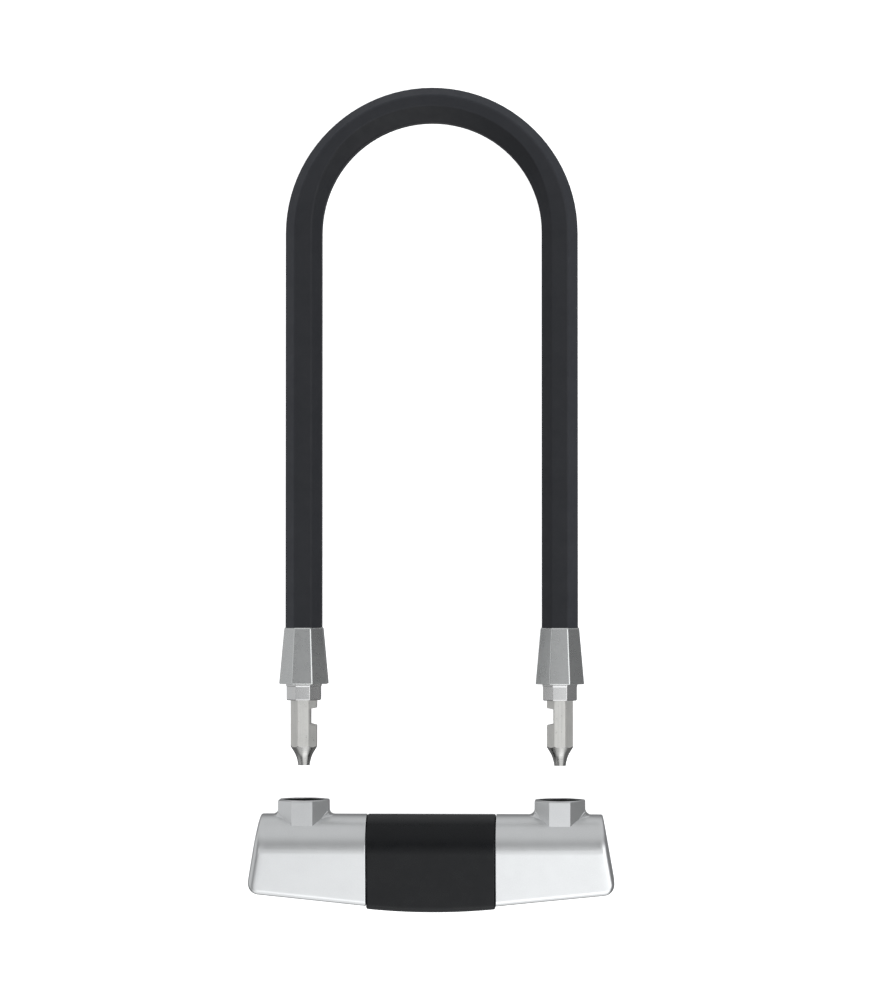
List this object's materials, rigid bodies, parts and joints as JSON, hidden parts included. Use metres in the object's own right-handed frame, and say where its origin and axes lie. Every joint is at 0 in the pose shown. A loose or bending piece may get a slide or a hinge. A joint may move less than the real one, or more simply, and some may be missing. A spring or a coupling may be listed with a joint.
{
  "type": "bicycle u lock",
  "caption": "Bicycle U-lock: sleeved octagonal steel shackle drawn out of a satin crossbar with foot sockets, lock bolts and a key cylinder.",
  "frame": {"origin": "middle of the crossbar's flat back, on which the lock lies", "axes": "+X along the crossbar, +Y from the crossbar towards the shackle's arc, +Z out of the front face"},
  "size_m": [0.1822, 0.4112, 0.0349],
  "materials": {
    "hardened_steel": "dark hardened",
    "bare_steel": "machined",
    "satin_zinc": "satin plated",
    "grey_zinc": "satin cast",
    "ferrule_zinc": "satin cast",
    "brass": "turned",
    "black_satin": "satin",
    "black_plastic": "moulded",
    "black_vinyl": "fine grain",
    "black_rubber": "matt"
  },
  "bodies": {
    "crossbar": {"core_housing": "hardened_steel", "end_casing_left": "satin_zinc", "end_casing_right": "satin_zinc", "centre_band": "black_satin", "foot_socket_left": "hardened_steel", "foot_socket_right": "hardened_steel", "socket_seal_left": "black_rubber", "socket_seal_right": "black_rubber", "casing_pin_left": "bare_steel", "casing_pin_right": "bare_steel", "core_end_plug_left": "hardened_steel", "core_end_plug_right": "hardened_steel", "cylinder_shell": "brass", "cylinder_pin": "bare_steel", "keyway_bezel": "black_plastic"},
    "plug": {"cylinder_plug": "brass", "detainer_disc_1": "brass", "detainer_disc_2": "brass", "detainer_disc_3": "brass", "detainer_disc_4": "brass", "detainer_disc_5": "brass", "detainer_disc_6": "brass", "detainer_disc_7": "brass", "sidebar": "bare_steel", "plug_driver": "bare_steel", "scroll_cam": "hardened_steel", "cam_screw": "bare_steel"},
    "bolt_left": {"lock_bolt_left": "hardened_steel", "follower_pin_left": "bare_steel"},
    "bolt_right": {"lock_bolt_right": "hardened_steel", "follower_pin_right": "bare_steel"},
    "keyhole_slider": {"keyway_cover": "black_plastic"},
    "shackle": {"shackle_bar": "bare_steel", "shackle_cover": "black_vinyl", "collar_left": "grey_zinc", "collar_right": "grey_zinc", "ferrule_left": "ferrule_zinc", "ferrule_right": "ferrule_zinc"}
  },
  "joints": [
    {"name": "shackle_slide", "type": "slide", "parent": "crossbar", "child": "shackle", "axis": [0, 1, 0], "range_m": [-0.05735, 0]},
    {"name": "plug_turn", "type": "hinge", "parent": "crossbar", "child": "plug", "pos_m": [0, 0, 0.0175], "axis": [0, 1, 0], "range_deg": [0, 90]},
    {"name": "bolt_left_slide", "type": "slide", "parent": "crossbar", "child": "bolt_left", "axis": [-1, 0, 0], "range_m": [0, 0.0035]},
    {"name": "bolt_right_slide", "type": "slide", "parent": "crossbar", "child": "bolt_right", "axis": [1, 0, 0], "range_m": [0, 0.0035]},
    {"name": "keyhole_slide", "type": "slide", "parent": "crossbar", "child": "keyhole_slider", "axis": [1, 0, 0], "range_m": [0, 0.0145]}
  ],
  "couplings": [
    {"joint": "plug_turn", "follows": "bolt_left_slide", "rad_per_m": 448.79},
    {"joint": "bolt_right_slide", "follows": "bolt_left_slide", "ratio": 1}
  ]
}
